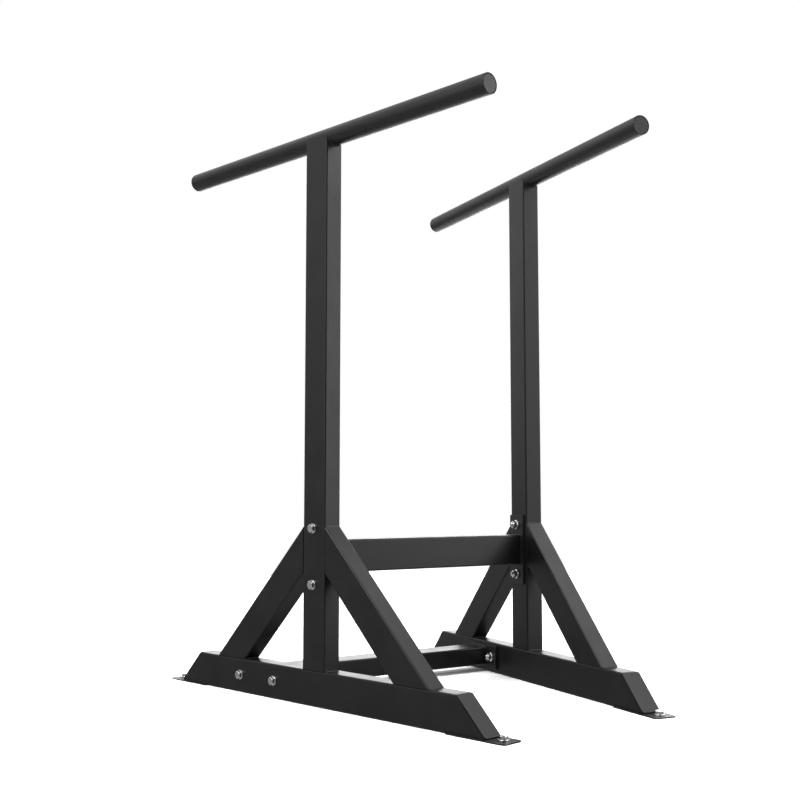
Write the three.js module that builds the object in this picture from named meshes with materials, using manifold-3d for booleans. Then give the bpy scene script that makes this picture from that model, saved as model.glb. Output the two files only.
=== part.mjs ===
// Dip station: two flat side frames, splayed like a V and bolted together by two cross members.
// Millimetres, +Z up. The floor is z = 0, the origin is on it, midway between the frames.
// The front (-Y) is the narrow end of the V, the rear (+Y) is the wide end.

import * as THREE from 'three';
import { mergeVertices } from 'three/addons/utils/BufferGeometryUtils.js';
import Module from 'manifold-3d';

const wasm = await Module();
wasm.setup();

// Whole stand
const frameSpacing = 664; // between the middle planes of the two side frames, at the uprights
const splayDegrees = 10; // turn of each side frame about its upright
const seatGap = 0.3; // joint line left between pieces that are welded or clamped together
const cutOverrun = 5; // how far a cutting tool runs past the metal

// Rectangular tube of the uprights, braces and cross members
const tubeDepth = 80;
const tubeWidth = 50;
const tubeWall = 2.5;
const cornerRadius = 4;
const boreCornerRadius = 1.5; // inside the tube

// Base beams
const beamLength = 1100; // on the floor, between the sloping end faces
const beamHeight = 85;
const endSlopeDegrees = 45;
const endPlateThickness = 3;

// Foot plates and the bolts that hold them to a floor
const footPlateLength = 168;
const footPlateWidth = 62;
const footPlateThickness = 3;
const footPlateCorner = 10;
const footPlateReach = 48; // past the end of the beam
const anchorInset = 26; // from the plate's outer end to its bolt

// Handle bars
const barHeight = 1398; // centre line above the floor
const barLength = 1096;
const barDiameter = 48.3;
const barWall = 3;
const barRimRadius = 1.2;
const barCapThickness = 4;
const barCapRecess = 0.4;

// Braces
const braceDegrees = 45;
const braceReach = 385; // from the upright's middle to the brace's upper edge on the beam

// Cross members
const upperCrossHeight = 357; // centre of the upper member above the floor
const upperCrossSetback = 3; // from the uprights' middle towards the rear, along the side frame
const lowerCrossHeight = 44.5;
const lowerCrossSetback = 219;
const flangeLength = 190;
const flangeWidth = 66;
const flangeThickness = 6;
const flangeCorner = 6;
const flangeBoltSpacing = 136;

// Fasteners
const boltDiameter = 12;
const boltHole = 13.4;
const boltEndChamfer = 1.5;
const boltProjection = 5; // thread left past the nut
const hexAcrossFlats = 18;
const hexHeadHeight = 7.5;
const hexChamfer = 1.4;
const nutHeight = 12;
const nutFlangeThickness = 2.6;
const nutFlangeDiameter = 25;
const nutThreadClearance = 0.25;
const washerDiameter = 24;
const washerThickness = 2.5;
const washerBore = 13;

// Facets round a full circle, and round a quarter of a tube's corner
const roundFacets = 20;
const barFacets = 40;
const cornerFacets = 2;

const splay = THREE.MathUtils.degToRad(splayDegrees);
const endSlope = THREE.MathUtils.degToRad(endSlopeDegrees);
const braceSlope = THREE.MathUtils.degToRad(braceDegrees);
const barRadius = barDiameter / 2;
const halfTubeWidth = tubeWidth / 2;
const halfTubeDepth = tubeDepth / 2;
const halfBeam = beamLength / 2;
const halfBar = barLength / 2;

// Finishes

function powderCoat() {
  return new THREE.MeshStandardMaterial({ color: 0x1d1e20, roughness: 0.42, metalness: 0 });
}

function capCoat() {
  return new THREE.MeshStandardMaterial({ color: 0x232426, roughness: 0.5, metalness: 0 });
}

function zincPlate() {
  return new THREE.MeshStandardMaterial({ color: 0xc8ccd0, roughness: 0.28, metalness: 1 });
}

// Solids

function toSolid(geometry) {
  const bare = geometry.clone();
  bare.deleteAttribute('normal');
  bare.deleteAttribute('uv');
  const merged = mergeVertices(bare);
  return new wasm.Manifold(new wasm.Mesh({
    numProp: 3,
    vertProperties: new Float32Array(merged.attributes.position.array),
    triVerts: new Uint32Array(merged.index.array),
  }));
}

function toGeometry(solid) {
  const mesh = solid.getMesh();
  const geometry = new THREE.BufferGeometry();
  geometry.setAttribute('position', new THREE.BufferAttribute(new Float32Array(mesh.vertProperties), 3));
  geometry.setIndex(new THREE.BufferAttribute(new Uint32Array(mesh.triVerts), 1));
  geometry.computeVertexNormals();
  return geometry;
}

function cutAway(geometry, tools) {
  let solid = toSolid(geometry);
  for (const tool of tools) {
    solid = solid.subtract(toSolid(tool));
  }
  return toGeometry(solid);
}

// A rectangle with rounded corners, centred across and from low to high upwards.
function roundedOutline(target, width, low, high, radius) {
  const half = width / 2;
  const inset = half - radius;
  target.moveTo(-inset, low);
  target.lineTo(inset, low);
  target.absarc(inset, low + radius, radius, -Math.PI / 2, 0, false);
  target.lineTo(half, high - radius);
  target.absarc(inset, high - radius, radius, 0, Math.PI / 2, false);
  target.lineTo(-inset, high);
  target.absarc(-inset, high - radius, radius, Math.PI / 2, Math.PI, false);
  target.lineTo(-half, low + radius);
  target.absarc(-inset, low + radius, radius, Math.PI, Math.PI * 1.5, false);
  return target;
}

function tubeSection(width, low, high) {
  const section = roundedOutline(new THREE.Shape(), width, low, high, cornerRadius);
  const bore = roundedOutline(
    new THREE.Path(),
    width - 2 * tubeWall,
    low + tubeWall,
    high - tubeWall,
    boreCornerRadius,
  );
  section.holes.push(bore);
  return section;
}

// A section run out between two end faces. Each end face is a function of the place in the section,
// so that an end can be square, mitred or sloped, and lay() puts (across, up, along) into the frame.
function runSection(section, startAt, endAt, lay) {
  const geometry = new THREE.ExtrudeGeometry(section, {
    depth: 1,
    bevelEnabled: false,
    curveSegments: cornerFacets,
  });
  const position = geometry.attributes.position;
  const point = new THREE.Vector3();
  for (let i = 0; i < position.count; i += 1) {
    const across = position.getX(i);
    const up = position.getY(i);
    const face = position.getZ(i) > 0 ? endAt : startAt;
    lay(point, across, up, face(across, up));
    position.setXYZ(i, point.x, point.y, point.z);
  }
  geometry.computeVertexNormals();
  return geometry;
}

function standUp(point, across, up, along) {
  point.set(across, up, along);
}

// A run towards the front of its side frame, which is its -Y.
function layForward(point, across, up, along) {
  point.set(across, -along, up);
}

function cylinderAlongX(diameter, length, facets) {
  const geometry = new THREE.CylinderGeometry(diameter / 2, diameter / 2, length, facets);
  return geometry.rotateZ(Math.PI / 2);
}

// A drill right through a tube, across its side frame.
function crossDrill(forward, height) {
  const drill = cylinderAlongX(boltHole, tubeWidth + 2 * cutOverrun, roundFacets);
  return drill.translate(0, -forward, height);
}

// The upper flanges stand on end against the uprights, the lower ones lie along the base beams.
// Each has two bolts, whose places in the side frame are [forward, height].
const upperMember = {
  name: 'upper',
  forward: -upperCrossSetback,
  height: upperCrossHeight,
  flangeTurn: Math.PI / 2,
  bolts: {
    top: [-upperCrossSetback, upperCrossHeight + flangeBoltSpacing / 2],
    bottom: [-upperCrossSetback, upperCrossHeight - flangeBoltSpacing / 2],
  },
};
const lowerMember = {
  name: 'lower',
  forward: -lowerCrossSetback,
  height: lowerCrossHeight,
  flangeTurn: 0,
  bolts: {
    front: [-lowerCrossSetback + flangeBoltSpacing / 2, lowerCrossHeight],
    rear: [-lowerCrossSetback - flangeBoltSpacing / 2, lowerCrossHeight],
  },
};

// Base beam: a tube whose two ends slope, let down over its foot plates.

function slopeAt(height) {
  return halfBeam - height / Math.tan(endSlope);
}

function baseBeam() {
  const plateRun = (endPlateThickness + seatGap) / Math.sin(endSlope);
  const reachAt = (height) => slopeAt(height) - plateRun;
  const tube = runSection(
    tubeSection(tubeWidth, 0, beamHeight),
    (across, up) => -reachAt(up),
    (across, up) => reachAt(up),
    layForward,
  );
  const notchHeight = footPlateThickness + seatGap;
  const plateInnerEnd = halfBeam + footPlateReach - footPlateLength - seatGap;
  const notchLength = halfBeam - plateInnerEnd + cutOverrun;
  const tools = [-1, 1].map((end) => {
    const notch = new THREE.BoxGeometry(tubeWidth + 2 * cutOverrun, notchLength, notchHeight + cutOverrun);
    return notch.translate(0, end * (plateInnerEnd + notchLength / 2), (notchHeight - cutOverrun) / 2);
  });
  for (const [forward, height] of Object.values(lowerMember.bolts)) {
    tools.push(crossDrill(forward, height));
  }
  return cutAway(tube, tools);
}

function endPlate() {
  const low = footPlateThickness + seatGap;
  const outline = roundedOutline(new THREE.Shape(), tubeWidth, low, beamHeight, cornerRadius);
  const run = endPlateThickness / Math.sin(endSlope);
  return runSection(outline, (across, up) => slopeAt(up) - run, (across, up) => slopeAt(up), layForward);
}

function drilledPlate(width, length, thickness, corner, drills) {
  const outline = roundedOutline(new THREE.Shape(), width, -length / 2, length / 2, corner);
  const plate = new THREE.ExtrudeGeometry(outline, {
    depth: thickness,
    bevelEnabled: false,
    curveSegments: cornerFacets,
  });
  const radius = boltHole / 2;
  const tools = drills.map((place) => {
    const drill = new THREE.CylinderGeometry(radius, radius, thickness + 2 * cutOverrun, roundFacets);
    return drill.rotateX(Math.PI / 2).translate(0, place, thickness / 2);
  });
  return cutAway(plate, tools);
}

// Foot plate of the front end: its outer end, with the floor bolt, points to -Y.
function footPlate() {
  const boltPlace = anchorInset - footPlateLength / 2;
  return drilledPlate(footPlateWidth, footPlateLength, footPlateThickness, footPlateCorner, [boltPlace]);
}

// Upright: a tube whose top is coped to a saddle for the handle bar.

function upright() {
  const tube = runSection(
    tubeSection(tubeWidth, -halfTubeDepth, halfTubeDepth),
    () => beamHeight + seatGap,
    () => barHeight,
    standUp,
  );
  const radius = barRadius + seatGap;
  const saddle = new THREE.CylinderGeometry(radius, radius, tubeDepth + 2 * cutOverrun, barFacets);
  const tools = [saddle.translate(0, 0, barHeight)];
  for (const [forward, height] of Object.values(upperMember.bolts)) {
    tools.push(crossDrill(forward, height));
  }
  return cutAway(tube, tools);
}

// Front brace: it comes down from the upright's front face to the top of the base beam,
// with one mitre upright and the other level.

function brace() {
  const rise = Math.sin(braceSlope);
  const reach = Math.cos(braceSlope);
  const footForward = braceReach - halfTubeDepth * rise;
  const footHeight = beamHeight - halfTubeDepth * reach;
  const headAt = (across, up) => (halfTubeDepth + seatGap - footForward - up * rise) / reach;
  const footAt = (across, up) => (footHeight + up * reach - beamHeight - seatGap) / rise;
  const layDown = (point, across, up, along) => {
    const forward = footForward + up * rise + along * reach;
    point.set(across, -forward, footHeight + up * reach - along * rise);
  };
  return runSection(tubeSection(tubeWidth, -halfTubeDepth, halfTubeDepth), headAt, footAt, layDown);
}

// Handle bar: a round tube with eased rims, closed by a disc let into each end.

function easedRim(radius, half, ease, steps) {
  const rim = [];
  for (let i = 0; i <= steps; i += 1) {
    const turn = (i / steps) * (Math.PI / 2);
    rim.push([radius - ease + ease * Math.cos(turn), half - ease + ease * Math.sin(turn)]);
  }
  return rim;
}

function handleBar() {
  const boreRadius = barRadius - barWall;
  const top = easedRim(barRadius, halfBar, barRimRadius, cornerFacets);
  const bottom = top.map(([radius, along]) => [radius, -along]).reverse();
  const profile = [[boreRadius, -halfBar], ...bottom, ...top, [boreRadius, halfBar], [boreRadius, -halfBar]];
  const points = profile.map(([radius, along]) => new THREE.Vector2(radius, along));
  return new THREE.LatheGeometry(points, barFacets);
}

function barCap() {
  const radius = barRadius - barWall - seatGap;
  return new THREE.CylinderGeometry(radius, radius, barCapThickness, barFacets);
}

// Cross members: a tube with a flange at each end. The side frames are splayed, so the tube's ends
// are mitred to lie flat on the flanges.

const flangeInnerFace = halfTubeWidth + seatGap + flangeThickness;
const memberEnd = flangeInnerFace + seatGap;

function crossTube(width, height, member) {
  const centre = memberEnd * Math.sin(splay) - member.forward * Math.cos(splay);
  const reachAt = (across) => {
    const rearward = across + centre;
    return frameSpacing / 2 + rearward * Math.tan(splay) - memberEnd / Math.cos(splay);
  };
  return runSection(
    tubeSection(width, member.height - height / 2, member.height + height / 2),
    (across) => -reachAt(across),
    (across) => reachAt(across),
    (point, across, up, along) => point.set(along, across + centre, up),
  );
}

function flange() {
  const places = [flangeBoltSpacing / 2, -flangeBoltSpacing / 2];
  return drilledPlate(flangeWidth, flangeLength, flangeThickness, flangeCorner, places);
}

// Fasteners, all with their axis along Y and the free end of the head or nut to +Y

function turned(profile) {
  const points = profile.map(([radius, along]) => new THREE.Vector2(radius, along));
  return toSolid(new THREE.LatheGeometry(points, roundFacets));
}

const hexCornerRadius = hexAcrossFlats / Math.sqrt(3);
const hexFaceRadius = hexAcrossFlats / 2 - hexChamfer / 2;

function hexPrism(low, high) {
  const prism = new THREE.CylinderGeometry(hexCornerRadius, hexCornerRadius, high - low, 6);
  return toSolid(prism.translate(0, (low + high) / 2, 0));
}

function hexHead() {
  const envelope = turned([
    [0, 0],
    [hexCornerRadius, 0],
    [hexCornerRadius, hexHeadHeight - hexChamfer],
    [hexFaceRadius, hexHeadHeight],
    [0, hexHeadHeight],
  ]);
  return hexPrism(0, hexHeadHeight).intersect(envelope);
}

function hexBolt(length) {
  const radius = boltDiameter / 2;
  const shank = turned([
    [0, -length],
    [radius - boltEndChamfer, -length],
    [radius, boltEndChamfer - length],
    [radius, hexHeadHeight / 2],
    [0, hexHeadHeight / 2],
  ]);
  return toGeometry(hexHead().add(shank));
}

function washer() {
  const bore = washerBore / 2;
  const rim = washerDiameter / 2;
  const profile = [[bore, 0], [rim, 0], [rim, washerThickness], [bore, washerThickness], [bore, 0]];
  const points = profile.map(([radius, along]) => new THREE.Vector2(radius, along));
  return new THREE.LatheGeometry(points, roundFacets);
}

// A hexagon nut that widens to a round flange where it bears.
function flangeNut() {
  const bore = boltDiameter / 2 + nutThreadClearance;
  const rim = nutFlangeDiameter / 2;
  const body = hexPrism(0, nutHeight).intersect(turned([
    [0, 0],
    [hexCornerRadius, 0],
    [hexCornerRadius, nutHeight - hexChamfer],
    [hexFaceRadius, nutHeight],
    [0, nutHeight],
  ]));
  const skirt = turned([
    [0, 0],
    [rim, 0],
    [rim, nutFlangeThickness / 2],
    [hexAcrossFlats / 2, nutFlangeThickness],
    [0, nutFlangeThickness],
  ]);
  const thread = new THREE.CylinderGeometry(bore, bore, nutHeight + 2 * cutOverrun, roundFacets);
  return toGeometry(body.add(skirt).subtract(toSolid(thread.translate(0, nutHeight / 2, 0))));
}

// Assembly

const group = new THREE.Group();

function addPiece(parent, name, geometry, material) {
  const mesh = new THREE.Mesh(geometry, material);
  mesh.name = name;
  parent.add(mesh);
  return mesh;
}

// A side frame is drawn about its own middle plane, x = 0, and then turned. Its outer side is
// +X on the right (side = 1) and -X on the left (side = -1).
function sideFrame(side, prefix) {
  const frame = new THREE.Group();
  frame.position.x = side * frameSpacing / 2;
  frame.rotation.z = -side * splay;

  addPiece(frame, `${prefix}_base_beam`, baseBeam(), powderCoat());
  addPiece(frame, `${prefix}_upright`, upright(), powderCoat());
  const bar = addPiece(frame, `${prefix}_handle_bar`, handleBar(), powderCoat());
  bar.position.z = barHeight;

  for (const [end, turn] of [['front', 0], ['rear', Math.PI]]) {
    const name = (piece) => `${prefix}_${end}_${piece}`;
    const half = new THREE.Group();
    half.rotation.z = turn;
    frame.add(half);

    addPiece(half, name('end_plate'), endPlate(), powderCoat());
    addPiece(half, name('brace'), brace(), powderCoat());

    const foot = addPiece(half, name('foot_plate'), footPlate(), powderCoat());
    foot.position.y = footPlateLength / 2 - halfBeam - footPlateReach;

    const cap = addPiece(half, name('bar_cap'), barCap(), capCoat());
    cap.position.set(0, barCapRecess + barCapThickness / 2 - halfBar, barHeight);

    addFloorBolt(half, name);
  }
  return frame;
}

function addFloorBolt(half, name) {
  const place = anchorInset - halfBeam - footPlateReach;
  const washerSeat = footPlateThickness + seatGap;
  const headSeat = washerSeat + washerThickness + seatGap;
  const disc = addPiece(half, name('floor_washer'), washer(), zincPlate());
  disc.position.set(0, place, washerSeat);
  disc.rotation.x = Math.PI / 2;
  const bolt = addPiece(half, name('floor_bolt'), hexBolt(headSeat - seatGap), zincPlate());
  bolt.position.set(0, place, headSeat);
  bolt.rotation.x = Math.PI / 2;
}

// A flange on the inner side of a side frame, with its two through bolts.
function addFlange(frame, side, prefix, member) {
  const turnedPlate = new THREE.Group();
  const innerX = side > 0 ? -flangeInnerFace : halfTubeWidth + seatGap;
  turnedPlate.position.set(innerX, -member.forward, member.height);
  turnedPlate.rotation.x = member.flangeTurn;
  frame.add(turnedPlate);
  const plate = addPiece(turnedPlate, `${prefix}_${member.name}_flange`, flange(), powderCoat());
  plate.rotation.y = Math.PI / 2;

  const washerSeat = halfTubeWidth + seatGap;
  const headSeat = washerSeat + washerThickness + seatGap;
  const nutSeat = flangeInnerFace + seatGap;
  const boltLength = headSeat + nutSeat + nutHeight + boltProjection;
  const outward = -side * Math.PI / 2;
  for (const [place, [forward, height]] of Object.entries(member.bolts)) {
    const name = (piece) => `${prefix}_${member.name}_${place}_${piece}`;
    const disc = addPiece(frame, name('washer'), washer(), zincPlate());
    disc.position.set(side * washerSeat, -forward, height);
    disc.rotation.z = outward;
    const bolt = addPiece(frame, name('bolt'), hexBolt(boltLength), zincPlate());
    bolt.position.set(side * headSeat, -forward, height);
    bolt.rotation.z = outward;
    const nut = addPiece(frame, name('nut'), flangeNut(), zincPlate());
    nut.position.set(-side * nutSeat, -forward, height);
    nut.rotation.z = -outward;
  }
}

for (const [side, prefix] of [[-1, 'left'], [1, 'right']]) {
  const frame = sideFrame(side, prefix);
  addFlange(frame, side, prefix, upperMember);
  addFlange(frame, side, prefix, lowerMember);
  group.add(frame);
}

addPiece(group, 'upper_cross_tube', crossTube(tubeWidth, tubeDepth, upperMember), powderCoat());
addPiece(group, 'lower_cross_tube', crossTube(tubeDepth, tubeWidth, lowerMember), powderCoat());

export default group;
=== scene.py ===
# %% [markdown]
# # A dip station in black powder coat
#
# The stand is two flat side frames of welded steel tube, splayed like a V, and two cross members
# bolted between them. A round bar lies on top of each upright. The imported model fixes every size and
# place, and this script gives each piece the rounding, the edges and the finish of the real one. It
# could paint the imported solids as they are, but light shows a steel part mostly through its corners,
# so each piece is built again here at the same size, with fine corners. Lengths are typed in
# millimetres and turned into Blender's metres where they are used.

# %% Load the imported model
import math

import bmesh
import bpy
import numpy as np
from mathutils import Matrix, Vector


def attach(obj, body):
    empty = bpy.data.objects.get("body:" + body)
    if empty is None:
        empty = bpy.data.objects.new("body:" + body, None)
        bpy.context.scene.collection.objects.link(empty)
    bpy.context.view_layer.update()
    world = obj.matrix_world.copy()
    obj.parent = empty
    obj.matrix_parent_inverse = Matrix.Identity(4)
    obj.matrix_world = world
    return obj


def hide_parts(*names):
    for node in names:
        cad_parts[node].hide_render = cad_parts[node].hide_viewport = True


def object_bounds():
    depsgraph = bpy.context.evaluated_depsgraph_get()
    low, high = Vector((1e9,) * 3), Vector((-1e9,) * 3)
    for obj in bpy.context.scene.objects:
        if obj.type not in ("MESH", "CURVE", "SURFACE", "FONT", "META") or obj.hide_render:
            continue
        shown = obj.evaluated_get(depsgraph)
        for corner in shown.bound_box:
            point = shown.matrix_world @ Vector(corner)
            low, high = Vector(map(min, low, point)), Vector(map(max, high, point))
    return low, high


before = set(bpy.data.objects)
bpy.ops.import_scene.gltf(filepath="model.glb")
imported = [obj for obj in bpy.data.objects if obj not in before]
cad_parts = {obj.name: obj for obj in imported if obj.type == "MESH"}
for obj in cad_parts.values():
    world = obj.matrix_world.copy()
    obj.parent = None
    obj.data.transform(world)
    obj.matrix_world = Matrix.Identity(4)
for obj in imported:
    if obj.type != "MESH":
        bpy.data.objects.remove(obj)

MM = 0.001
cad_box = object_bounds()
cad_size = cad_box[1] - cad_box[0]
print("packed model:", [round(side / MM, 1) for side in cad_size], "mm,", len(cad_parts), "nodes")

# %% [markdown]
# ## The camera
#
# A camera could be placed by eye. But a picture of straight tubes gives its camera away: their edges
# meet at vanishing points, which fix the angles and the lens, and with the camera solved a render can
# be laid over the photograph edge by edge. A 50 mm lens stands about three metres off, half a metre
# above the floor, and looks up by five degrees. Nothing is shifted or out of focus.

# %% Place the camera
camera_place = Vector((-1744.0, -2349.9, 499.7)) * MM
camera_yaw = math.radians(35.009)
camera_pitch = math.radians(5.016)

camera_data = bpy.data.cameras.new("camera")
camera_data.lens = 50
camera_data.sensor_width = 36
camera = bpy.data.objects.new("camera", camera_data)
camera.location = camera_place
camera.rotation_euler = (math.pi / 2 + camera_pitch, 0, -camera_yaw)
bpy.context.scene.collection.objects.link(camera)
bpy.context.scene.camera = camera
print("camera:", [round(value, 3) for value in camera_place], "m")

# %% [markdown]
# ## Black powder coat
#
# Powder coat is a baked plastic skin. It is almost black, so most of what is seen of it is the
# reflection of the room, softened by a satin surface with a fine orange peel. An image texture could
# show the peel, but it would need unwrapping and would have seams. So one Principled shader does this
# with noise in the object's own coordinates, which drives the roughness and a shallow bump, and the
# grain has its real size on every piece.

# %% Node helpers
def add_node(tree, kind, label, **inputs):
    node = tree.nodes.new(kind)
    node.label = label
    for socket, value in inputs.items():
        node.inputs[socket.replace("_", " ")].default_value = value
    return node


def new_finish(name):
    """A material with its shader, and the coordinates of the piece in metres."""
    material = bpy.data.materials.new(name)
    material.use_nodes = True
    tree = material.node_tree
    shader = tree.nodes["Principled BSDF"]
    place = add_node(tree, "ShaderNodeTexCoord", "place on the piece")
    return material, tree, shader, place.outputs["Object"]


# %% Grain, tones and bumps
def grain(tree, place, label, size, detail):
    """Noise whose lumps are about `size` millimetres across, from 0 to 1."""
    noise = add_node(tree, "ShaderNodeTexNoise", label, Scale=1 / (size * MM), Detail=detail)
    tree.links.new(place, noise.inputs["Vector"])
    return noise.outputs["Fac"]


noise_low, noise_high = 0.3, 0.7    # nearly all of a noise lies between these


def spread(tree, value, label, low, high):
    """A noise stretched to run from low to high."""
    stretch = add_node(
        tree, "ShaderNodeMapRange", label,
        From_Min=noise_low, From_Max=noise_high, To_Min=low, To_Max=high)
    tree.links.new(value, stretch.inputs["Value"])
    return stretch.outputs["Result"]


def two_tones(tree, value, label, dark, light):
    """A noise as a colour between two tones."""
    ramp = add_node(tree, "ShaderNodeValToRGB", label)
    for stop, place, tone in zip(ramp.color_ramp.elements, (noise_low, noise_high), (dark, light)):
        stop.position = place
        stop.color = (*tone, 1)
    tree.links.new(value, ramp.inputs["Fac"])
    return ramp.outputs["Color"]


def bumps(tree, shader, height, depth, normal=None):
    """A bump of `depth` millimetres on the shader, over an earlier bump if there is one."""
    bump = add_node(tree, "ShaderNodeBump", "bump", Distance=depth * MM, Strength=1)
    tree.links.new(height, bump.inputs["Height"])
    if normal:
        tree.links.new(normal, bump.inputs["Normal"])
    tree.links.new(bump.outputs["Normal"], shader.inputs["Normal"])
    return bump.outputs["Normal"]


# %% Mix the coats
cloud_size = 70
peel_size, peel_depth = 1.6, 0.02
dust_size, dust_depth = 0.5, 0.006


def powder_coat(name, dark, light, smooth, rough):
    """Black between two tones, with a roughness between smooth and rough."""
    material, tree, shader, place = new_finish(name)
    clouds = grain(tree, place, "uneven thickness", cloud_size, 3)
    peel = grain(tree, place, "orange peel", peel_size, 2)
    dust = grain(tree, place, "fine grain", dust_size, 1)
    tree.links.new(two_tones(tree, clouds, "tone", dark, light), shader.inputs["Base Color"])
    tree.links.new(spread(tree, clouds, "satin", smooth, rough), shader.inputs["Roughness"])
    peeled = bumps(tree, shader, peel, peel_depth)
    bumps(tree, shader, dust, dust_depth, peeled)
    shader.inputs["IOR"].default_value = 1.5
    shader.inputs["Specular IOR Level"].default_value = 0.4
    return material


frame_black = powder_coat(
    "black powder coat",
    dark=(0.005, 0.005, 0.0054), light=(0.007, 0.007, 0.0075), smooth=0.34, rough=0.42)
bar_black = powder_coat(
    "black powder coat of the bars",
    dark=(0.006, 0.006, 0.0065), light=(0.009, 0.009, 0.0095), smooth=0.36, rough=0.44)
plate_black = powder_coat(
    "black powder coat of the plates",
    dark=(0.008, 0.008, 0.0085), light=(0.012, 0.012, 0.0125), smooth=0.36, rough=0.44)
cap_black = powder_coat(
    "black end cap",
    dark=(0.009, 0.009, 0.0095), light=(0.012, 0.012, 0.0125), smooth=0.4, rough=0.5)
print("coats:", ", ".join(coat.name for coat in (frame_black, bar_black, plate_black, cap_black)))

# %% [markdown]
# ## Zinc plate
#
# The bolts, nuts and washers are steel with a thin coat of bright zinc. Zinc is a metal, so its
# colour tints what it mirrors. An even roughness would do for a polished part, but fine scratches from
# the barrel that these are plated in make their shine uneven, and a second noise shows that.

# %% Mix the zinc
bloom_size = 3
scuff_size, scuff_depth = 0.7, 0.006


def zinc_plate(name, dark, light, smooth, rough):
    material, tree, shader, place = new_finish(name)
    bloom = grain(tree, place, "zinc bloom", bloom_size, 3)
    scuffs = grain(tree, place, "barrel scuffs", scuff_size, 2)
    tree.links.new(two_tones(tree, bloom, "tone", dark, light), shader.inputs["Base Color"])
    tree.links.new(spread(tree, scuffs, "shine", smooth, rough), shader.inputs["Roughness"])
    bumps(tree, shader, scuffs, scuff_depth)
    shader.inputs["Metallic"].default_value = 1
    return material


bolt_zinc = zinc_plate(
    "zinc plate of the bolts",
    dark=(0.84, 0.85, 0.87), light=(0.94, 0.95, 0.97), smooth=0.12, rough=0.22)
washer_zinc = zinc_plate(
    "zinc plate of the washers",
    dark=(0.82, 0.83, 0.85), light=(0.92, 0.93, 0.95), smooth=0.16, rough=0.28)
print("zinc:", bolt_zinc.name, "and", washer_zinc.name)

# %% [markdown]
# ## From rings to a piece
#
# Nearly every piece here is a row of closed rings with a skin between them: a tube is four rings, its
# outer and inner outline at both ends, and a bar or a bolt is a profile turned about its axis. Blender
# has primitives and extrusion for this, but rings in code keep both walls of a tube and every mitre
# exact. The sharp edges get a small bevel, and normals weighted by area keep the flats flat.

# %% Skin a row of rings
def face_outwards(mesh):
    """Turns the faces of a closed mesh round if they point into it."""
    mesh.calc_loop_triangles()
    corners = np.array([vertex.co for vertex in mesh.vertices])
    a, b, c = (corners[[triangle.vertices[k] for triangle in mesh.loop_triangles]] for k in range(3))
    if np.einsum("ij,ij->", a, np.cross(b, c)) < 0:
        mesh.flip_normals()


def skin(rings, hollow):
    """A closed mesh over the rings. Hollow joins the last ring to the first, or else lids close it."""
    count = len(rings[0])
    points = [point for ring in rings for point in ring]
    faces = []
    for k in range(len(rings) if hollow else len(rings) - 1):
        near, far = k * count, (k + 1) % len(rings) * count
        for i in range(count):
            j = (i + 1) % count
            faces.append((near + i, near + j, far + j, far + i))
    if not hollow:
        faces.append(tuple(range(count))[::-1])
        faces.append(tuple(range(len(points) - count, len(points))))
    mesh = bpy.data.meshes.new("skin")
    mesh.from_pydata([Vector(point) * MM for point in points], [], faces)
    face_outwards(mesh)
    return mesh


# %% Cut with an exact boolean
def cut_away(mesh, tools):
    """The mesh less each tool, by an exact boolean."""
    for tool in tools:
        body = bpy.data.objects.new("body", mesh)
        cutter = bpy.data.objects.new("cutter", tool)
        bpy.context.scene.collection.objects.link(body)
        bpy.context.scene.collection.objects.link(cutter)
        boolean = body.modifiers.new("cut", "BOOLEAN")
        boolean.object = cutter
        boolean.operation = "DIFFERENCE"
        boolean.solver = "EXACT"
        depsgraph = bpy.context.evaluated_depsgraph_get()
        mesh = bpy.data.meshes.new_from_object(body.evaluated_get(depsgraph))
        bpy.data.objects.remove(body)
        bpy.data.objects.remove(cutter)
    return mesh


# %% Make a piece
bevel_steps = 2
bevel_from = math.radians(28)


def make_piece(name, mesh, place, finish, slot, ease, *nodes):
    """The mesh at its place, as a piece whose edges are eased by `ease` millimetres.

    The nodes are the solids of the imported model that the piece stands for.
    """
    mesh.name = name
    mesh.transform(place)
    mesh.polygons.foreach_set("use_smooth", [True] * len(mesh.polygons))
    mesh.materials.clear()
    mesh.materials.append(finish)
    piece = bpy.data.objects.new(name, mesh)
    bpy.context.scene.collection.objects.link(piece)
    if ease:
        bevel = piece.modifiers.new("eased edges", "BEVEL")
        bevel.width = ease * MM
        bevel.segments = bevel_steps
        bevel.limit_method = "ANGLE"
        bevel.angle_limit = bevel_from
        bevel.use_clamp_overlap = True
    flats = piece.modifiers.new("flats stay flat", "WEIGHTED_NORMAL")
    flats.weight = 100
    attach(piece, "root")
    if nodes:
        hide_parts(*nodes)
    return piece


# %% [markdown]
# ## Where the side frames stand
#
# Each side frame is flat and is made as if it stood alone: x is across it, y runs to the rear and z
# up. A matrix then puts it half the spacing out and turns it by ten degrees. The rear half of a frame
# is its front half turned round, which saves describing anything twice.

# %% Place the side frames
frame_spacing = 664
splay = math.radians(10)
joint_gap = 0.3


def side_place(side):
    """From a side frame's own axes to the stand's. side is -1 on the left and 1 on the right."""
    out = side * frame_spacing / 2 * MM
    return Matrix.Translation((out, 0, 0)) @ Matrix.Rotation(-side * splay, 4, "Z")


def half_turn(end):
    """The rear half of a frame is its front half turned round."""
    return Matrix.Rotation(math.pi if end == "rear" else 0, 4, "Z")


def half_place(side, end):
    """From the axes of a frame's front half to the stand's, for either half."""
    return side_place(side) @ half_turn(end)


def moved(x, y, z):
    return Matrix.Translation(Vector((x, y, z)) * MM)


sides = (("left", -1), ("right", 1))
ends = ("front", "rear")
print("side frames:", frame_spacing, "mm apart, splayed by", round(math.degrees(splay)), "degrees each")

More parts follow.
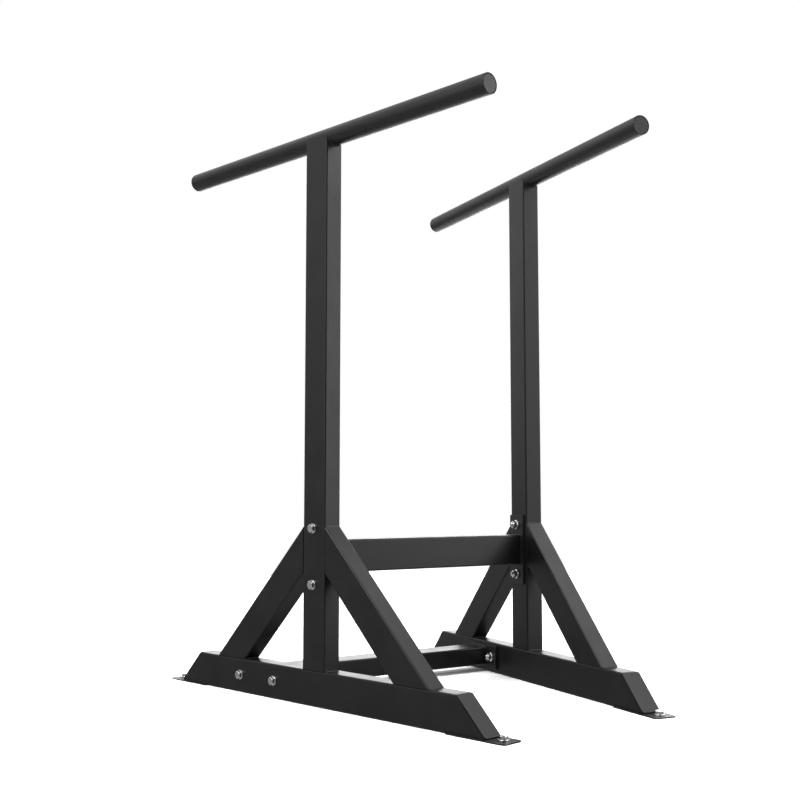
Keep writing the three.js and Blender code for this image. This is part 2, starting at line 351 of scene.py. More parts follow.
# %% [markdown]
# ## Rectangular tube
#
# Uprights, braces, beams and cross members are cut from cold-rolled tube, 80 by 50 mm, with a 2.5 mm
# wall and corners rolled to 4 mm. A tube could be a box with a bevel. Here its section is drawn with
# six steps to a corner and run out between two end faces, and each end face is a function of the
# place in the section, so that it can be square, mitred or sloped.

# %% Draw the tube's section
tube_depth = 80
tube_width = 50
tube_wall = 2.5
tube_corner = 4
bore_corner = 1.5
corner_steps = 6


def rounded_outline(width, low, high, radius):
    """Points (across, up) round a rectangle with rounded corners."""
    inset = width / 2 - radius
    corners = (
        (inset, low + radius, -90), (inset, high - radius, 0),
        (-inset, high - radius, 90), (-inset, low + radius, 180))
    points = []
    for across, up, start in corners:
        for i in range(corner_steps + 1):
            turn = math.radians(start + 90 * i / corner_steps)
            points.append((across + radius * math.cos(turn), up + radius * math.sin(turn)))
    return points


# %% Run a tube between two end faces
def run_tube(width, low, high, start_at, end_at, lay):
    """A tube between two end faces, each a function of the place in the section, laid by `lay`."""
    outer = rounded_outline(width, low, high, tube_corner)
    inner = rounded_outline(width - 2 * tube_wall, low + tube_wall, high - tube_wall, bore_corner)
    rings = [[lay(a, u, face(a, u)) for a, u in outline] for outline, face in (
        (outer, start_at), (outer, end_at), (inner, end_at), (inner, start_at))]
    return skin(rings, hollow=True)


def standing(across, up, along):
    """Left as it is drawn, on end."""
    return (across, up, along)


def lying(across, up, along):
    """Laid along a side frame, towards its front."""
    return (across, -along, up)


# %% Turn a profile, and drill across
def turn_profile(profile, steps, hollow, lay=standing):
    """A profile of (radius, along) turned about its axis."""
    turns = [2 * math.pi * i / steps for i in range(steps)]
    rings = [[lay(r * math.cos(t), r * math.sin(t), along) for t in turns] for r, along in profile]
    return skin(rings, hollow)


round_steps = 48
bolt_hole = 13.4
cut_overrun = 5


def cross_drill(forward, height):
    """A drill right through a side frame's tube, from side to side."""
    half = tube_width / 2 + cut_overrun

    def crosswise(a, u, along):
        return (along, a - forward, u + height)

    return turn_profile([(bolt_hole / 2, -half), (bolt_hole / 2, half)], round_steps, False, crosswise)


# %% [markdown]
# ## Base beams and their end plates
#
# A base beam is the same kind of tube, 85 mm high here, with both ends sloped at 45 degrees and closed
# by a plate welded on, whose back edges are chamfered to make room for the weld. The beam is let down
# over a thin foot plate at each end, so its underside and the plates' touch the floor together. The
# notch is a boolean cut, because it crosses both walls.

# %% Cut a base beam
beam_length = 1100
beam_height = 85
end_slope = math.radians(45)
end_plate = 3
foot_length = 168
foot_reach = 47.9
foot_thickness = 3
lower_cross_setback = 219
lower_cross_height = 44.5
flange_bolts = 136


def slope_at(height):
    """How far out the sloping end lies at this height."""
    return beam_length / 2 - height / math.tan(end_slope)


def box_tool(low, high):
    corners = [(low[0], low[1]), (high[0], low[1]), (high[0], high[1]), (low[0], high[1])]
    return skin([[(x, y, z) for x, y in corners] for z in (low[2], high[2])], hollow=False)


def base_beam():
    plate_run = (end_plate + joint_gap) / math.sin(end_slope)
    tube = run_tube(
        tube_width, 0, beam_height,
        lambda a, u: plate_run - slope_at(u),
        lambda a, u: slope_at(u) - plate_run,
        lying,
    )
    inner = beam_length / 2 + foot_reach - foot_length - joint_gap
    outer = beam_length / 2 + cut_overrun
    half = tube_width / 2 + cut_overrun
    top = foot_thickness + joint_gap
    notches = [
        box_tool((-half, inner, -cut_overrun), (half, outer, top)),
        box_tool((-half, -outer, -cut_overrun), (half, -inner, top)),
    ]
    drills = [
        cross_drill(-lower_cross_setback + step * flange_bolts / 2, lower_cross_height)
        for step in (1, -1)]
    return cut_away(tube, notches + drills)


# %% Close the base beams' ends
end_chamfer = 1.5
beam_ease = 0.3
plate_ease = 0.5


def sloped_end_plate():
    """Its back edges are chamfered. Its foot is cut square to it and stands off the floor."""
    low = foot_thickness + joint_gap
    rings = []
    for depth, inset in ((end_plate, end_chamfer), (end_plate - end_chamfer, 0), (0, 0)):
        stand_off = (end_plate - depth) * math.cos(end_slope)
        outline = rounded_outline(
            tube_width - 2 * inset, low + stand_off + inset, beam_height - inset, tube_corner - inset)
        rings.append([lying(a, u, slope_at(u) - depth / math.sin(end_slope)) for a, u in outline])
    return skin(rings, hollow=False)


for word, side in sides:
    name = f"{word}_base_beam"
    beam, place = base_beam(), side_place(side)
    make_piece(f"{name}_coated", beam, place, frame_black, "frame_coat", beam_ease, name)
    for end in ends:
        name = f"{word}_{end}_end_plate"
        plate, place = sloped_end_plate(), half_place(side, end)
        make_piece(f"{name}_coated", plate, place, plate_black, "plate_coat", plate_ease, name)
print("base beams:", beam_length, "mm long,", beam_height, "mm high, closed by", end_plate, "mm plates")

# %% [markdown]
# ## Foot plates
#
# Each is a 3 mm plate with rounded corners and one hole for a floor bolt, as wide as the beam and a
# little more. A flat outline run up by its thickness and drilled is all it takes.

# %% Make the foot plates
foot_width = 61.7
foot_corner = 10
foot_ease = 0.4
anchor_inset = 26


def drilled_plate(width, length, thickness, corner, drills):
    """A plate with its holes on the centre line, at the places in `drills`."""
    outline = rounded_outline(width, -length / 2, length / 2, corner)
    plate = skin([[(a, u, z) for a, u in outline] for z in (0, thickness)], hollow=False)
    tools = []
    for place in drills:
        profile = [(bolt_hole / 2, -cut_overrun), (bolt_hole / 2, thickness + cut_overrun)]
        tool = turn_profile(profile, round_steps, hollow=False)
        tool.transform(moved(0, place, 0))
        tools.append(tool)
    return cut_away(plate, tools)


for word, side in sides:
    for end in ends:
        name = f"{word}_{end}_foot_plate"
        plate = drilled_plate(
            foot_width, foot_length, foot_thickness, foot_corner, [anchor_inset - foot_length / 2])
        place = half_place(side, end) @ moved(0, foot_length / 2 - beam_length / 2 - foot_reach, 0)
        make_piece(f"{name}_coated", plate, place, plate_black, "plate_coat", foot_ease, name)
print("foot plates:", foot_length, "x", foot_width, "x", foot_thickness, "mm")

# %% [markdown]
# ## Uprights
#
# An upright is a tube with its top coped: a round cut as wide as the bar leaves two side walls that
# rise to the bar's middle and a curved edge front and rear for it to lie in. The same cylinder that
# gives the bar its place does the cutting, a joint's gap larger.

# %% Make the uprights
bar_height = 1398
bar_diameter = 48.3
bar_steps = 96
upper_cross_height = 357
upper_cross_setback = 3
tube_ease = 0.25


def upright():
    half = tube_depth / 2
    tube = run_tube(
        tube_width, -half, half,
        lambda a, u: beam_height + joint_gap,
        lambda a, u: bar_height,
        standing,
    )
    radius = bar_diameter / 2 + joint_gap
    reach = half + cut_overrun
    saddle = turn_profile([(radius, -reach), (radius, reach)], bar_steps, hollow=False, lay=lying)
    saddle.transform(moved(0, 0, bar_height))
    drills = [
        cross_drill(-upper_cross_setback, upper_cross_height + step * flange_bolts / 2)
        for step in (1, -1)]
    return cut_away(tube, [saddle] + drills)


for word, side in sides:
    name = f"{word}_upright"
    tube, place = upright(), side_place(side)
    make_piece(f"{name}_coated", tube, place, frame_black, "frame_coat", tube_ease, name)
print("uprights: up to", bar_height, "mm, the bar's centre line")

# %% [markdown]
# ## Braces
#
# Four braces stiffen each upright against its beam at 45 degrees. Their upper end is mitred upright
# against the upright's face and their foot is mitred level on the beam, so both ends are functions of
# the height in the section.

# %% Make the braces
brace_reach = 385
brace_slope = math.radians(45)


def brace():
    half = tube_depth / 2
    rise, reach = math.sin(brace_slope), math.cos(brace_slope)
    foot_forward = brace_reach - half * rise
    foot_height = beam_height - half * reach

    def head_at(a, u):
        return (half + joint_gap - foot_forward - u * rise) / reach

    def foot_at(a, u):
        return (foot_height + u * reach - beam_height - joint_gap) / rise

    def leaning(a, u, along):
        return (a, -(foot_forward + u * rise + along * reach), foot_height + u * reach - along * rise)

    return run_tube(tube_width, -half, half, head_at, foot_at, leaning)


for word, side in sides:
    for end in ends:
        name = f"{word}_{end}_brace"
        place = half_place(side, end)
        make_piece(f"{name}_coated", brace(), place, frame_black, "frame_coat", tube_ease, name)
brace_top = beam_height + brace_reach - tube_depth / 2
print("braces: up to", brace_top, "mm on the upright")

# %% [markdown]
# ## Handle bars and their end caps
#
# A bar is round tube, 48.3 mm across. Its rims are eased so that they don't cut, and a disc let in a
# little behind each rim closes it. Both are turned profiles. 96 steps round keep its outline smooth
# against the white background.

# %% Make the bars
bar_length = 1096
bar_wall = 3
rim_round = 1.6
cap_thickness = 4
cap_recess = 0.4
cap_round = 0.6
ease_steps = 6


def eased_corner(radius, along, ease, outward):
    """Points of a quarter round, from the side of a turned piece to its end face."""
    points = []
    for i in range(ease_steps + 1):
        turn = i / ease_steps * math.pi / 2
        narrower, back = ease * (1 - math.cos(turn)), ease * (1 - math.sin(turn))
        points.append((radius - narrower, along - outward * back))
    return points


def handle_bar():
    half = bar_length / 2
    radius = bar_diameter / 2
    far = eased_corner(radius, half, rim_round, 1)
    near = eased_corner(radius, -half, rim_round, -1)
    bore = radius - bar_wall
    profile = [(bore, -half), *near[::-1], *far, (bore, half)]
    return turn_profile(profile, bar_steps, hollow=True, lay=lying)


def bar_cap():
    radius = bar_diameter / 2 - bar_wall - joint_gap
    far = eased_corner(radius, cap_thickness / 2, cap_round, 1)
    near = eased_corner(radius, -cap_thickness / 2, cap_round, -1)
    return turn_profile([*near[::-1], *far], bar_steps, hollow=False, lay=lying)


for word, side in sides:
    name = f"{word}_handle_bar"
    place = side_place(side) @ moved(0, 0, bar_height)
    make_piece(f"{name}_coated", handle_bar(), place, bar_black, "bar_coat", 0, name)
    for end in ends:
        name = f"{word}_{end}_bar_cap"
        back = cap_recess + cap_thickness / 2 - bar_length / 2
        place = half_place(side, end) @ moved(0, back, bar_height)
        make_piece(f"{name}_coated", bar_cap(), place, cap_black, "cap_coat", 0, name)
print("bars:", bar_length, "mm long,", bar_diameter, "mm across")

# %% [markdown]
# ## Cross members and their flanges
#
# The side frames are turned by the splay, so a straight tube meets them at an angle: its ends are
# mitred by ten degrees to lie on the flanges, which stay flat against the frames. The upper flanges
# stand on end on the uprights, and the lower ones lie along the beams.

# %% Place the cross members
flange_thickness = 6
flange_face = tube_width / 2 + joint_gap + flange_thickness
member_end = flange_face + joint_gap

members = {
    "upper": {
        "forward": -upper_cross_setback, "height": upper_cross_height, "turn": math.pi / 2,
        "bolts": {"top": 1, "bottom": -1}},
    "lower": {
        "forward": -lower_cross_setback, "height": lower_cross_height, "turn": 0,
        "bolts": {"front": -1, "rear": 1}},
}


def member_centre(member):
    """How far behind the uprights a cross tube's middle lies, in the stand's own axes."""
    return member_end * math.sin(splay) - member["forward"] * math.cos(splay)


def member_reach(back):
    """How far from the middle of the stand a cross tube ends, this far behind the uprights."""
    return frame_spacing / 2 + back * math.tan(splay) - member_end / math.cos(splay)


# %% Cut the cross tubes and seat the flanges
def cross_tube(width, height, member):
    centre = member_centre(member)
    middle = member["height"]
    return run_tube(
        width, middle - height / 2, middle + height / 2,
        lambda a, u: -member_reach(a + centre),
        lambda a, u: member_reach(a + centre),
        lambda a, u, along: (along, a + centre, u),
    )


def flange_place(side, member):
    """A flange lies on the inner side of its frame. Its own z runs through its thickness."""
    inner = -flange_face if side > 0 else tube_width / 2 + joint_gap
    stand_on_end = Matrix.Rotation(member["turn"], 4, "X")
    on_side = Matrix.Rotation(math.pi / 2, 4, "Y")
    seat = side_place(side) @ moved(inner, -member["forward"], member["height"])
    return seat @ stand_on_end @ on_side


# %% Make the cross members
flange_length = 190
flange_width = 66
flange_corner = 6
tube_sizes = {"upper": (tube_width, tube_depth), "lower": (tube_depth, tube_width)}

for kind, member in members.items():
    name = f"{kind}_cross_tube"
    tube = cross_tube(*tube_sizes[kind], member)
    make_piece(f"{name}_coated", tube, Matrix(), frame_black, "frame_coat", tube_ease, name)
    for word, side in sides:
        name = f"{word}_{kind}_flange"
        drills = [flange_bolts / 2, -flange_bolts / 2]
        plate = drilled_plate(flange_width, flange_length, flange_thickness, flange_corner, drills)
        place = flange_place(side, member)
        make_piece(f"{name}_coated", plate, place, plate_black, "plate_coat", plate_ease, name)
    back = round(member_centre(member), 1)
    print(kind, "cross tube: middle", member["height"], "mm up and", back, "mm back")

# %% [markdown]
# ## Weld beads
#
# The frames are welded, and the coat lies over the beads. Where one tube stands on another there is a
# fillet weld across the tube, about 2 mm high, with a ripple for each drop of metal laid down. Bump
# would lose it at the outline, so each bead is a small mesh. A row of rings follows the corner, and
# every ring swells and shrinks with the ripple, which bends into crescents across the bead.

# %% Lay a bead along a corner
weld_leg = 2
weld_ripple = 1.6
weld_sink = 0.4
weld_step = 0.4
weld_arc = 6
weld_crown = 0.04
weld_swell = 0.05
weld_lag = 0.45
weld_taper = 0.05


def weld_bead(stops, closed=False):
    """A bead along stops of (corner point, away over one face, away over the other face)."""
    stops = [[np.array(part, float) for part in stop] for stop in stops]
    if closed:
        stops.append(stops[0])
    lengths = [0]
    for (start, _, _), (end, _, _) in zip(stops, stops[1:]):
        lengths.append(lengths[-1] + np.linalg.norm(end - start))
    rings = []
    count = math.ceil(lengths[-1] / weld_step)
    for k in range(count if closed else count + 1):
        along = lengths[-1] * k / count
        point, over, up = (
            np.array([
                np.interp(along, lengths, [stop[part][axis] for stop in stops]) for axis in range(3)])
            for part in range(3))
        from_end = weld_leg if closed else min(along, lengths[-1] - along)
        size = weld_leg * math.sqrt(max(weld_taper, 1 - (1 - min(1, from_end / weld_leg)) ** 2))
        ring = [point - weld_sink * (over + up), point + size * over - weld_sink * up]
        for i in range(weld_arc + 1):
            share = i / weld_arc
            crown = math.sin(math.pi * share)
            ripple = abs(math.sin(math.pi * (along / weld_ripple + weld_lag * crown)))
            swell = crown * (weld_crown + weld_swell * ripple)
            ring.append(point + size * (over * (1 - share + swell) + up * (share + swell)))
        ring.append(point + size * up - weld_sink * over)
        rings.append([tuple(corner) for corner in ring])
    return skin(rings, hollow=closed)


def join(meshes):
    """One mesh of several."""
    joined = bmesh.new()
    for mesh in meshes:
        joined.from_mesh(mesh)
    whole = bpy.data.meshes.new("joined")
    joined.to_mesh(whole)
    joined.free()
    return whole


# %% Weld the side frames
bead_half = tube_width / 2 - tube_corner
diagonal = math.sqrt(0.5)
saddle_start = 207
saddle_sweep = 126
saddle_stops = 24


def across_bead(y, z, over, up):
    """A straight bead across a side frame."""
    return weld_bead([((x, y, z), over, up) for x in (-bead_half, bead_half)])


def half_frame_beads():
    """The beads of a side frame's front half."""
    face = -tube_depth / 2
    under = brace_top - tube_depth / math.cos(brace_slope)
    foot_in = tube_depth / math.sin(brace_slope) - brace_reach
    up_brace, down_brace = (0, diagonal, diagonal), (0, -diagonal, -diagonal)
    beads = [
        across_bead(face, beam_height, (0, -1, 0), (0, 0, 1)),
        across_bead(face, brace_top, (0, 0, 1), down_brace),
        across_bead(face, under, (0, 0, -1), down_brace),
        across_bead(-brace_reach, beam_height, (0, -1, 0), up_brace),
        across_bead(foot_in, beam_height, (0, 1, 0), up_brace),
    ]
    radius = bar_diameter / 2
    saddle = []
    for i in range(saddle_stops + 1):
        turn = math.radians(saddle_start + saddle_sweep * i / saddle_stops)
        out = (math.cos(turn), 0, math.sin(turn))
        saddle.append(((radius * out[0], face, bar_height + radius * out[2]), (0, -1, 0), out))
    beads.append(weld_bead(saddle))
    return beads


for word, side in sides:
    beads = []
    for end in ends:
        for bead in half_frame_beads():
            bead.transform(half_turn(end))
            beads.append(bead)
    make_piece(f"{word}_frame_welds", join(beads), side_place(side), frame_black, "frame_coat", 0)
    print(word, "side frame:", len(beads), "beads")

# %% Weld the flanges to the cross tubes
def flange_weld(width, height, member, side):
    """The bead round a cross tube's end, in the stand's own axes."""
    centre = member_centre(member)
    middle = member["height"]
    along_flange = np.array((side * math.tan(splay), 1, 0))
    along_flange /= np.linalg.norm(along_flange)
    flat_half = np.array((width, height)) / 2 - tube_corner
    stops = []
    for a, u in rounded_outline(width, middle - height / 2, middle + height / 2, tube_corner):
        place = np.array((a, u - middle))
        out = (place - np.clip(place, -flat_half, flat_half)) / tube_corner
        over = out[0] * along_flange + np.array((0, 0, out[1]))
        stops.append(((side * member_reach(a + centre), a + centre, u), over, (-side, 0, 0)))
    return weld_bead(stops, closed=True)


for kind, member in members.items():
    beads = join([flange_weld(*tube_sizes[kind], member, side) for word, side in sides])
    make_piece(f"{kind}_cross_welds", beads, Matrix(), frame_black, "frame_coat", 0)
    print(kind, "cross member:", len(sides), "beads")

# %% [markdown]
# ## Bolts, washers and nuts
#
# The fasteners are M12: a hexagon head 18 mm across its flats on a round washer outside, and a flanged
# nut inside, with a few turns of thread past it. A hexagon could be a six-sided cylinder, but a real
# one is turned first, so a cone cuts its corners and leaves a curved line on each flat. Here the
# radius of each ring follows the hexagon and its height follows the cone. The thread is one groove
# that climbs as it goes round.

# %% Shape the hexagons
across_flats = 18
hex_chamfer = 1.4
face_radius = across_flats / 2 - hex_chamfer / 2
hex_steps = 12
hex_turns = [math.pi * i / (3 * hex_steps) for i in range(6 * hex_steps)]


def hex_radius(turn):
    """From the axis to the hexagon's side. A corner points along the first axis."""
    from_flat = (turn + math.pi / 6) % (math.pi / 3) - math.pi / 6
    return across_flats / 2 / math.cos(math.pi / 6 - abs(from_flat))


def cone_height(radius, top):
    """Where the cone that eases a hexagon's corners passes at this radius."""
    corner = across_flats / math.sqrt(3)
    return top - max(0, radius - face_radius) / (corner - face_radius) * hex_chamfer


def hex_ring(height_of):
    """A ring round the hexagon's sides, its height a function of the radius."""
    radii = [hex_radius(t) for t in hex_turns]
    return [(r * math.cos(t), r * math.sin(t), height_of(r)) for r, t in zip(radii, hex_turns)]


def plain_ring(radius, height):
    return [(radius * math.cos(t), radius * math.sin(t), height) for t in hex_turns]


def hexagon(low, top):
    """The rings of a hexagon from its underside to the flat on top."""
    return [
        hex_ring(lambda r: low),
        hex_ring(lambda r: cone_height(r, top)),
        plain_ring(face_radius, top),
    ]


across_corners = round(2 * hex_radius(0), 1)
print("hexagons:", across_flats, "mm across the flats,", across_corners, "mm across the corners")

# %% Make a bolt
bolt_diameter = 12
bolt_end_chamfer = 1.5
head_height = 7.5
washer_face = 0.5
thread_pitch = 1.75
thread_depth = 0.9
thread_steps = 8
thread_flank = 1.15
thread_runout = 0.5
thread_start = 0.01


def thread_rings(start, finish):
    """Rings up a thread. Their radius dips where the groove passes and where the end is chamfered."""
    rings = []
    count = math.ceil((finish - start) / thread_pitch * thread_steps)
    for k in range(count + 1):
        height = start + (finish - start) * k / count
        narrow = max(0, bolt_end_chamfer - (height - start))
        ring = []
        for t in hex_turns:
            phase = (height / thread_pitch - t / (2 * math.pi)) % 1
            groove = thread_depth * max(0, 1 - abs(2 * phase - 1) * thread_flank)
            radius = min(bolt_diameter / 2 - groove, bolt_diameter / 2 - narrow)
            ring.append((radius * math.cos(t), radius * math.sin(t), height))
        rings.append(ring)
    return rings


def hex_bolt(length, threaded):
    """A bolt whose head sits on z = 0 and points up. Its last stretch is threaded."""
    shank = bolt_diameter / 2
    rings = [plain_ring(shank - bolt_end_chamfer, -length)]
    rings += thread_rings(-length + thread_start, -length + threaded)
    rings += [plain_ring(shank, -length + threaded + thread_runout), plain_ring(shank, 0)]
    rings += [plain_ring(face_radius, 0), plain_ring(face_radius, washer_face)]
    rings += hexagon(washer_face, head_height)
    return skin(rings, hollow=False)


# %% [markdown]
# A washer is a flat ring with its edges rounded over by the punch. The nut widens to a round flange
# where it bears, so it needs no washer of its own, and its bore clears the thread.

# %% Make washers and nuts
washer_diameter = 24
washer_bore = 13
washer_thickness = 2.5
washer_ease = 0.5
nut_height = 12
nut_flange = 2.6
nut_flange_diameter = 25
nut_clearance = 0.25
nut_countersink = 0.8
nut_foot_ease = 0.4
nut_shoulder = 1
nut_step = 0.2


def washer():
    rim, bore, top = washer_diameter / 2, washer_bore / 2, washer_thickness
    over = eased_corner(rim, top, washer_ease, 1)
    under = eased_corner(rim, 0, washer_ease / 2, -1)
    profile = [(bore, 0), *under[::-1], *over, (bore + washer_ease / 2, top)]
    return turn_profile(profile, round_steps, hollow=True)


def flange_nut():
    """A nut that bears on z = 0, with its bore open right through."""
    rim = nut_flange_diameter / 2
    bore = bolt_diameter / 2 + nut_clearance
    mouth = bore + nut_countersink
    rings = [plain_ring(mouth, 0), plain_ring(rim - nut_foot_ease, 0), plain_ring(rim, nut_foot_ease)]
    rings += [plain_ring(rim, nut_flange / 2), plain_ring(across_flats / 2 + nut_shoulder, nut_flange)]
    rings += hexagon(nut_flange + nut_step, nut_height)
    rings += [
        plain_ring(mouth, nut_height),
        plain_ring(bore, nut_height - nut_countersink),
        plain_ring(bore, nut_countersink),
    ]
    return skin(rings, hollow=True)


# %% [markdown]
# ## Bolting the stand together
#
# A through bolt holds a whole joint: head, washer, side frame, flange and nut lie on one axis. So each
# joint gets one matrix for its axis, and the seats along it add up from the thicknesses of the pieces,
# with a hair of air between them. The hexagons could stand at random angles as on a real stand, but
# they stand alike here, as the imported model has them.

# %% Bolt the cross members on
bolt_projection = 5
fastener_ease = 0.25


def add_fastener(node, mesh, place, finish, slot, ease=fastener_ease):
    make_piece(f"{node}_plated", mesh, place, finish, slot, ease, node)


washer_seat = tube_width / 2 + joint_gap
head_seat = washer_seat + washer_thickness + joint_gap
nut_seat = member_end
through_length = head_seat + nut_seat + nut_height + bolt_projection
threaded_length = 22

for word, side in sides:
    outward = Matrix.Rotation(side * math.pi / 2, 4, "Y")
    inward = Matrix.Rotation(-side * math.pi / 2, 4, "Y")
    for kind, member in members.items():
        for where, step in member["bolts"].items():
            offset = step * flange_bolts / 2
            back = -member["forward"] + (offset if kind == "lower" else 0)
            height = member["height"] + (offset if kind == "upper" else 0)
            under_washer, under_head, under_nut = (
                side_place(side) @ moved(x, back, height)
                for x in (side * washer_seat, side * head_seat, -side * nut_seat))
            node = f"{word}_{kind}_{where}"
            bolt = hex_bolt(through_length, threaded_length)
            add_fastener(
                f"{node}_washer", washer(), under_washer @ outward, washer_zinc, "washer_zinc", ease=0)
            add_fastener(f"{node}_bolt", bolt, under_head @ outward, bolt_zinc, "bolt_zinc")
            add_fastener(f"{node}_nut", flange_nut(), under_nut @ inward, bolt_zinc, "bolt_zinc")
print("through bolts:", round(through_length, 1), "mm under the head")

# %% Bolt the feet down
foot_washer_seat = foot_thickness + joint_gap
foot_head_seat = foot_washer_seat + washer_thickness + joint_gap

for word, side in sides:
    for end in ends:
        foot = half_place(side, end) @ moved(0, anchor_inset - beam_length / 2 - foot_reach, 0)
        node = f"{word}_{end}_floor"
        short = hex_bolt(foot_head_seat - joint_gap, foot_washer_seat - joint_gap)
        under_washer, under_head = (foot @ moved(0, 0, z) for z in (foot_washer_seat, foot_head_seat))
        add_fastener(f"{node}_washer", washer(), under_washer, washer_zinc, "washer_zinc", ease=0)
        add_fastener(f"{node}_bolt", short, under_head, bolt_zinc, "bolt_zinc")
print("floor bolts:", len(sides) * len(ends))

# %% [markdown]
# ## Floor
#
# The photograph is a catalogue picture, white all round. The floor is a square of white paper that
# catches the stand's short shadow, and its colour is raised for the camera alone, so that it prints
# white without more light on the stand. It is kept out of reflections: the low faces of the real stand
# mirror something dark, and the world below sets what that is.

# %% Lay the floor
floor_half = 4
camera_lift = 0.6


def plain_panel(name, corners, finish):
    """A flat panel of four corners, which is part of the set and not of the stand."""
    mesh = bpy.data.meshes.new(name)
    mesh.from_pydata(corners, [], [(0, 1, 2, 3)])
    mesh.materials.append(finish)
    panel = bpy.data.objects.new(name, mesh)
    bpy.context.scene.collection.objects.link(panel)
    return panel


def white_paper():
    """Matt white, and whiter still for the camera: its colour is 1, and the lift on top."""
    material, tree, shader, _ = new_finish("pale floor")
    shader.inputs["Roughness"].default_value = 1
    shader.inputs["Specular IOR Level"].default_value = 0
    looking = add_node(tree, "ShaderNodeLightPath", "who looks")
    white = add_node(tree, "ShaderNodeMath", "whiter for the camera")
    white.operation = "MULTIPLY_ADD"
    white.inputs[1].default_value = camera_lift
    white.inputs[2].default_value = 1
    tree.links.new(looking.outputs["Is Camera Ray"], white.inputs[0])
    tree.links.new(white.outputs["Value"], shader.inputs["Base Color"])
    return material


quarters = ((-1, -1), (1, -1), (1, 1), (-1, 1))
floor = plain_panel("floor", [(x * floor_half, y * floor_half, 0) for x, y in quarters], white_paper())
floor.visible_glossy = False
print("floor:", 2 * floor_half, "m square")

# %% [markdown]
# ## World
#
# A black coat shows hardly any colour of its own, so the look of the stand is the look of what stands
# round it. The world is graded by height: dim at the horizon and below, brighter above, and dim again
# overhead, which leaves a dark line along each rounded corner. The camera itself sees plain white.

# %% Grade the world by height
world_levels = (    # (sine of the elevation, level)
    (-1, 0.5), (-0.5, 0.4), (-0.14, 0.2), (0.03, 0.29), (0.26, 0.7), (0.6, 0.7), (0.8, 0.25), (1, 0.25))

bpy.context.scene.view_settings.view_transform = "Standard"
world = bpy.data.worlds.new("studio")
bpy.context.scene.world = world
world.use_nodes = True
tree = world.node_tree
direction = add_node(tree, "ShaderNodeTexCoord", "direction")
rise = add_node(tree, "ShaderNodeSeparateXYZ", "rise of the direction")
from_below = add_node(tree, "ShaderNodeMapRange", "from straight down to straight up", From_Min=-1)
levels = add_node(tree, "ShaderNodeValToRGB", "levels")
while len(levels.color_ramp.elements) < len(world_levels):
    levels.color_ramp.elements.new(0.5)
for stop, (sine, level) in zip(levels.color_ramp.elements, world_levels):
    stop.position = (sine + 1) / 2
    stop.color = (level, level, level, 1)
tree.links.new(direction.outputs["Generated"], rise.inputs["Vector"])
tree.links.new(rise.outputs["Z"], from_below.inputs["Value"])
tree.links.new(from_below.outputs["Result"], levels.inputs["Fac"])

# %% Show the camera plain white
sky = tree.nodes["Background"]
looking = add_node(tree, "ShaderNodeLightPath", "who looks")
white = add_node(tree, "ShaderNodeMix", "white for the camera")
white.data_type = "RGBA"
white.inputs["B"].default_value = (1, 1, 1, 1)
tree.links.new(looking.outputs["Is Camera Ray"], white.inputs["Factor"])
tree.links.new(levels.outputs["Color"], white.inputs["A"])
tree.links.new(white.outputs["Result"], sky.inputs["Color"])
sky.inputs["Strength"].default_value = 1
print("world:", len(world_levels), "levels")

# %% [markdown]
# ## Backdrop, flag and cards
#
# Large panels shape reflections in a studio. The white backdrop is mirrored in the tops of the tubes.
# A black flag behind the camera keeps the faces that look that way dark, and two cards on the floor
# brighten the low faces. The flag and the cards show in reflections only and throw no shadow.

# %% Hang the backdrop and the flag
def towards(azimuth, elevation=0):
    """The direction at this azimuth and elevation, in degrees, as seen from the stand."""
    turn, rise = math.radians(azimuth), math.radians(elevation)
    return Vector((math.cos(turn) * math.cos(rise), math.sin(turn) * math.cos(rise), math.sin(rise)))


def glow(name, level):
    """A finish that is as bright as the level by itself."""
    material, _, shader, _ = new_finish(name)
    shader.inputs["Base Color"].default_value = (0, 0, 0, 1)
    shader.inputs["Specular IOR Level"].default_value = 0
    shader.inputs["Emission Color"].default_value = (1, 1, 1, 1)
    shader.inputs["Emission Strength"].default_value = level
    return material


def standing_panel(name, azimuth, distance, width, low, high, finish):
    """An upright panel that faces the stand."""
    middle = towards(azimuth) * distance
    along = towards(azimuth + 90) * width / 2
    corners = [middle - along, middle + along, middle + along, middle - along]
    heights = (low, low, high, high)
    return plain_panel(name, [(c.x, c.y, z) for c, z in zip(corners, heights)], finish)


behind_stand, behind_camera = 53, -124
standing_panel(
    "backdrop", behind_stand, distance=12, width=15, low=0, high=12, finish=glow("white backdrop", 1))
flag = standing_panel(
    "flag behind the camera", behind_camera,
    distance=4.2, width=6, low=0, high=3.6, finish=glow("black flag", 0))
flag.visible_camera = flag.visible_diffuse = flag.visible_shadow = False
print("backdrop and flag: at", behind_stand, "and", behind_camera, "degrees")

# %% Lay the cards
card_lift = Vector((0, 0, 0.002))
before_stand = -50


def floor_card(name, azimuth, near, far, level):
    """A card on the floor that only reflections see. near and far are (distance, half width)."""
    corners = [
        tuple(towards(azimuth) * distance + towards(azimuth + 90) * side * half_width + card_lift)
        for (distance, half_width), side in ((near, -1), (far, -1), (far, 1), (near, 1))]
    card = plain_panel(name, corners, glow(name, level))
    card.visible_camera = card.visible_diffuse = card.visible_shadow = False


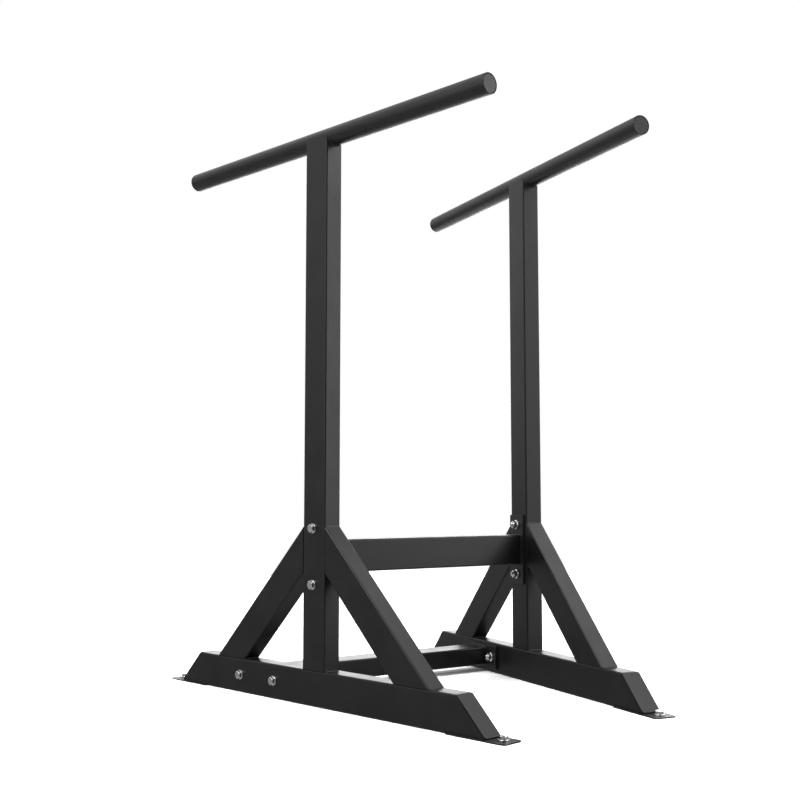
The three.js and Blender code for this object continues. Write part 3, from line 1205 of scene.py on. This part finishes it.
floor_card("card behind the stand", behind_stand, near=(1.4, 1.4), far=(8, 2), level=1)
floor_card("card in front of the stand", before_stand, near=(1.2, 1), far=(6, 3), level=1)
print("cards: at", behind_stand, "and", before_stand, "degrees")

# %% [markdown]
# ## Softboxes
#
# A broad lamp gives a broad, soft shine, and each flat face mirrors one patch of the room. So every
# lamp hangs where one set of faces looks: the panels for the uprights and cross members, the high
# lamps for the braces' upper faces, the bars' tops and the corners, and the backlight for the tops of
# the beams. Their levels were found by comparing the faces with the photograph one at a time. The
# overhead lamp only keeps the floor white round the stand, so reflections leave it out.

# %% Set up the softboxes
aim = Vector((0, 0, 0.7))


def softbox(name, azimuth, elevation, distance, width, height, level):
    """A lamp panel turned to the stand. A level of 1 is as bright as white paper in full light."""
    data = bpy.data.lights.new(name, "AREA")
    data.shape = "RECTANGLE"
    data.size = width
    data.size_y = height
    data.energy = level * math.pi * width * height
    lamp = bpy.data.objects.new(name, data)
    toward = towards(azimuth, elevation)
    lamp.location = aim + toward * distance
    lamp.rotation_euler = toward.to_track_quat("Z", "Y").to_euler()
    lamp.visible_camera = False
    bpy.context.scene.collection.objects.link(lamp)
    return lamp


lamps = (    # (name, azimuth, elevation, distance, width, height, level)
    ("front right panel", -43, 14, 4.5, 1.8, 3.4, 2.55),
    ("right of front panel", -66, 14, 4.5, 1.4, 3.4, 1.35),
    ("left panel", 174, 10, 4.5, 1.6, 2.8, 2.2),
    ("far left panel", 108, 16, 4.5, 1.6, 2.6, 0.45),
    ("low backlight", 53, 4, 5, 4, 1.6, 3.15),
    ("high right lamp", -15, 58, 4, 2, 2, 2.7),
    ("high front lamp", -32, 40, 4, 1.4, 1.8, 1.9),
    ("high rear lamp", 108, 52, 4, 2, 2, 0.7),
    ("high left lamp", -170, 50, 4, 1.2, 2, 11),
)
for lamp in lamps:
    softbox(*lamp)
overhead = softbox(
    "overhead lamp", azimuth=0, elevation=90, distance=3.5, width=2, height=2, level=5)
overhead.visible_glossy = False
print("softboxes:", len(lamps) + 1)
